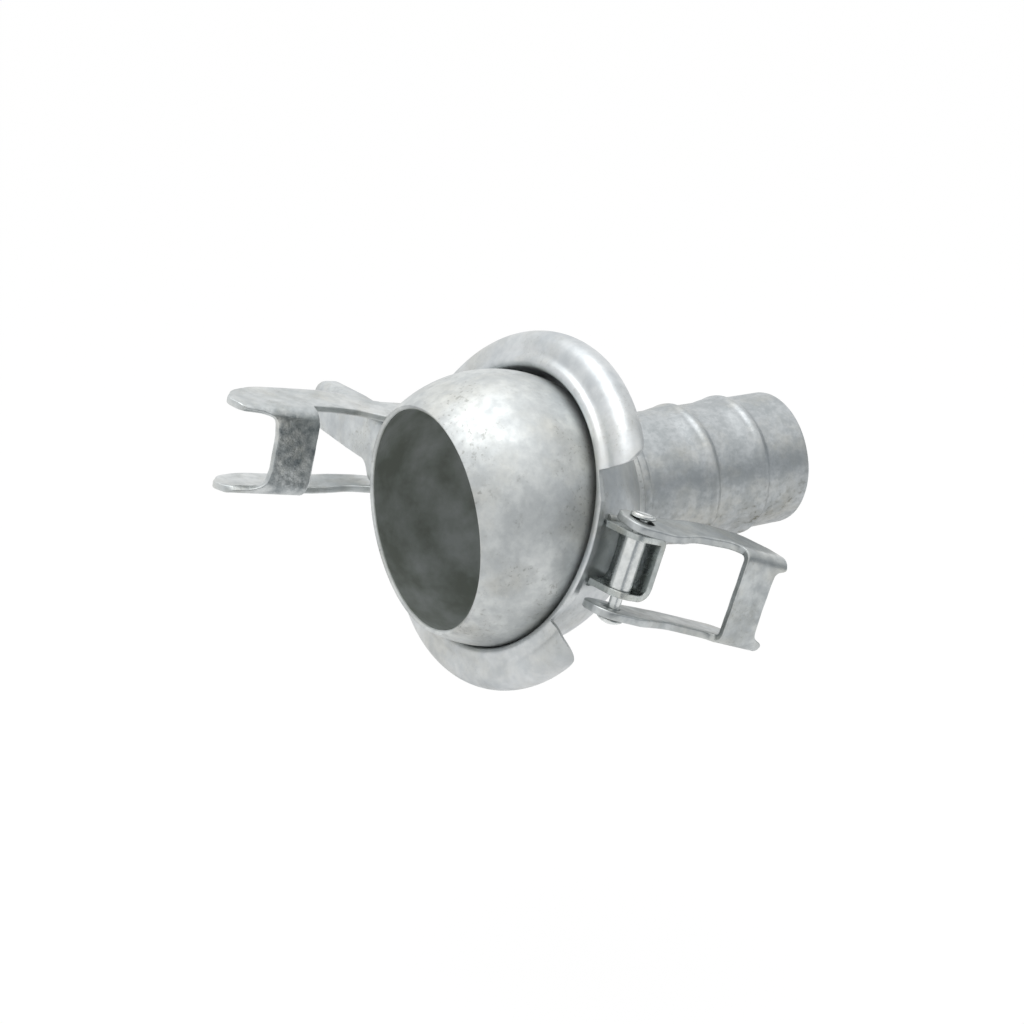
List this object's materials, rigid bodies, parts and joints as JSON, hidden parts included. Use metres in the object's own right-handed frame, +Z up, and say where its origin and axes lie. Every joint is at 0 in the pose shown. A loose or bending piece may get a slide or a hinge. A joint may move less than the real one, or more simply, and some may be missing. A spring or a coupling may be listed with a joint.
{
  "type": "lever pipe coupling, ball half with hose tail",
  "caption": "Ball half of a quick pipe coupling: open ball on a beaded hose tail, with a loose closing ring that carries a swinging hook and a lever with a latch hook.",
  "frame": {"origin": "centre of the ball", "axes": "+X along the pipe axis from the open mouth to the hose tail, +Z up, the swinging hook on the -Y side and the lever on the +Y side"},
  "size_m": [0.2967, 0.3089, 0.1852],
  "materials": {
    "ball": "satin, clouded hot-dip galvanising",
    "hose_tail": "matt, rough hot-dip galvanising",
    "closing_ring": "satin hot-dip galvanising",
    "swing_hook": "satin hot-dip galvanising",
    "latch_hook": "satin hot-dip galvanising",
    "lever_handle": "satin hot-dip galvanising",
    "brackets": "satin hot-dip galvanising",
    "rivets": "bright zinc",
    "welds": "matt galvanised weld"
  },
  "bodies": {
    "coupling": {"ball": "ball", "hose_tail": "hose_tail", "neck_weld": "welds"},
    "ring": {"closing_ring": "closing_ring", "hook_bracket": "brackets", "hook_bracket_welds": "welds", "hook_sleeve": "rivets", "hook_rivet": "rivets", "lever_bracket": "brackets", "lever_bracket_welds": "welds", "lever_sleeve": "rivets"},
    "hook": {"swing_hook": "swing_hook"},
    "lever": {"lever_handle": "lever_handle", "lever_rivet": "rivets", "latch_rivet": "rivets"},
    "latch": {"latch_hook": "latch_hook"}
  },
  "joints": [
    {"name": "ring_swivel", "type": "hinge", "parent": "coupling", "child": "ring", "pos_m": [0, 0, 0], "axis": [1, 0, 0], "continuous": true},
    {"name": "hook_swing", "type": "hinge", "parent": "ring", "child": "hook", "pos_m": [0.02328, -0.09351, -0.00695], "axis": [0.3403, -0.0163, 0.9402], "range_deg": [-176, 8]},
    {"name": "lever_turn", "type": "hinge", "parent": "ring", "child": "lever", "pos_m": [0.00532, 0.09755, -0.00012], "axis": [0.1815, -0.0989, 0.9784], "range_deg": [-95, 50]},
    {"name": "latch_turn", "type": "hinge", "parent": "lever", "child": "latch", "pos_m": [0.006, 0.11695, 0.00171], "axis": [0.1815, -0.0989, 0.9784], "range_deg": [-50, 95]}
  ],
  "couplings": [
    {"joint": "latch_turn", "follows": "lever_turn", "ratio": -1}
  ]
}
